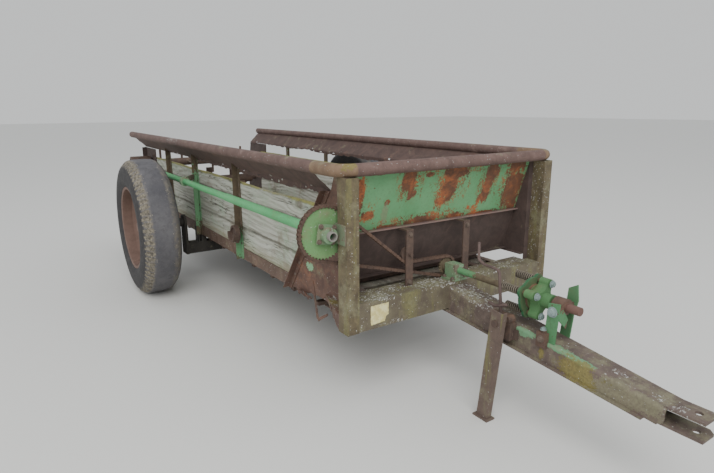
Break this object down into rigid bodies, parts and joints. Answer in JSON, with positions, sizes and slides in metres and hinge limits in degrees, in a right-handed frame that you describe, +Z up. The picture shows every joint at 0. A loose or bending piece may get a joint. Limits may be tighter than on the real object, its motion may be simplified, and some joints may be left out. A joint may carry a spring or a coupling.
{
  "type": "manure spreader",
  "caption": "Old tractor-drawn box spreader with a pipe top rail, wooden sides, apron chains, rear beaters, roller chain drive with spring slip clutch, two wheels and a jack leg.",
  "frame": {"origin": "Middle of the overall box's footprint, on the ground under the wheels", "axes": "+X to the machine's left, +Y to the rear with the hitch at -Y, +Z up"},
  "size_m": [2.318, 5.495, 1.205],
  "materials": {
    "old_paint": "matte",
    "rusted_steel": "matte",
    "grey_boards": "matte",
    "old_rubber": "matte"
  },
  "bodies": {
    "frame": {"sills": "rusted_steel", "front_beam": "old_paint", "cross_members": "rusted_steel", "floor_boards": "grey_boards", "front_posts": "old_paint", "upper_panel": "old_paint", "lower_panel": "rusted_steel", "end_sheet_right": "rusted_steel", "end_sheet_left": "rusted_steel", "side_boards_right": "grey_boards", "side_boards_left": "grey_boards", "stakes_right": "old_paint", "stakes_left": "old_paint", "flare_right": "rusted_steel", "flare_left": "rusted_steel", "top_rail": "rusted_steel", "rail_elbows": "rusted_steel", "tongue": "old_paint", "pto_stand": "old_paint", "root_bearing": "old_paint", "panel_straps": "rusted_steel", "drive_chain": "rusted_steel", "control_rod": "rusted_steel", "jack_bracket": "rusted_steel", "axle": "rusted_steel", "apron_chains": "rusted_steel", "apron_shafts": "rusted_steel", "rear_plate_right": "rusted_steel", "rear_plate_left": "rusted_steel", "shaft_hangers": "old_paint", "rear_gearbox": "old_paint", "beater_chain": "rusted_steel", "side_bracket": "rusted_steel"},
    "wheel_right": {"tyre_right": "old_rubber", "rim_right": "rusted_steel"},
    "wheel_left": {"tyre_left": "old_rubber", "rim_left": "rusted_steel"},
    "side_drive": {"side_shaft": "old_paint", "drive_sprocket": "old_paint"},
    "pto": {"pto_shaft": "old_paint", "slip_clutch": "old_paint", "clutch_springs": "rusted_steel"},
    "main_beater_rotor": {"main_beater": "rusted_steel"},
    "upper_beater_rotor": {"upper_beater": "rusted_steel"},
    "jack": {"jack_leg": "old_paint"}
  },
  "joints": [
    {"name": "wheel_right_spin", "type": "hinge", "parent": "frame", "child": "wheel_right", "pos_m": [-1.014, 0.9605, 0.53], "axis": [1, 0, 0], "continuous": true},
    {"name": "wheel_left_spin", "type": "hinge", "parent": "frame", "child": "wheel_left", "pos_m": [1.014, 0.9605, 0.53], "axis": [1, 0, 0], "continuous": true},
    {"name": "main_beater_spin", "type": "hinge", "parent": "frame", "child": "main_beater_rotor", "pos_m": [0, 2.5545, 0.64], "axis": [1, 0, 0], "continuous": true},
    {"name": "upper_beater_spin", "type": "hinge", "parent": "frame", "child": "upper_beater_rotor", "pos_m": [0, 2.3745, 0.89], "axis": [1, 0, 0], "continuous": true},
    {"name": "side_shaft_spin", "type": "hinge", "parent": "frame", "child": "side_drive", "pos_m": [-0.754, 0.4945, 0.89], "axis": [0, 1, 0], "continuous": true},
    {"name": "pto_spin", "type": "hinge", "parent": "frame", "child": "pto", "pos_m": [0, -1.8055, 0.61], "axis": [0, 1, 0], "continuous": true},
    {"name": "jack_swing", "type": "hinge", "parent": "frame", "child": "jack", "pos_m": [-0.1645, -1.9205, 0.5], "axis": [-1, 0, 0], "range_deg": [0, 90]}
  ],
  "couplings": [
    {"joint": "upper_beater_spin", "follows": "main_beater_spin", "ratio": 1},
    {"joint": "side_shaft_spin", "follows": "main_beater_spin", "ratio": 1},
    {"joint": "pto_spin", "follows": "main_beater_spin", "ratio": 2.3333}
  ]
}
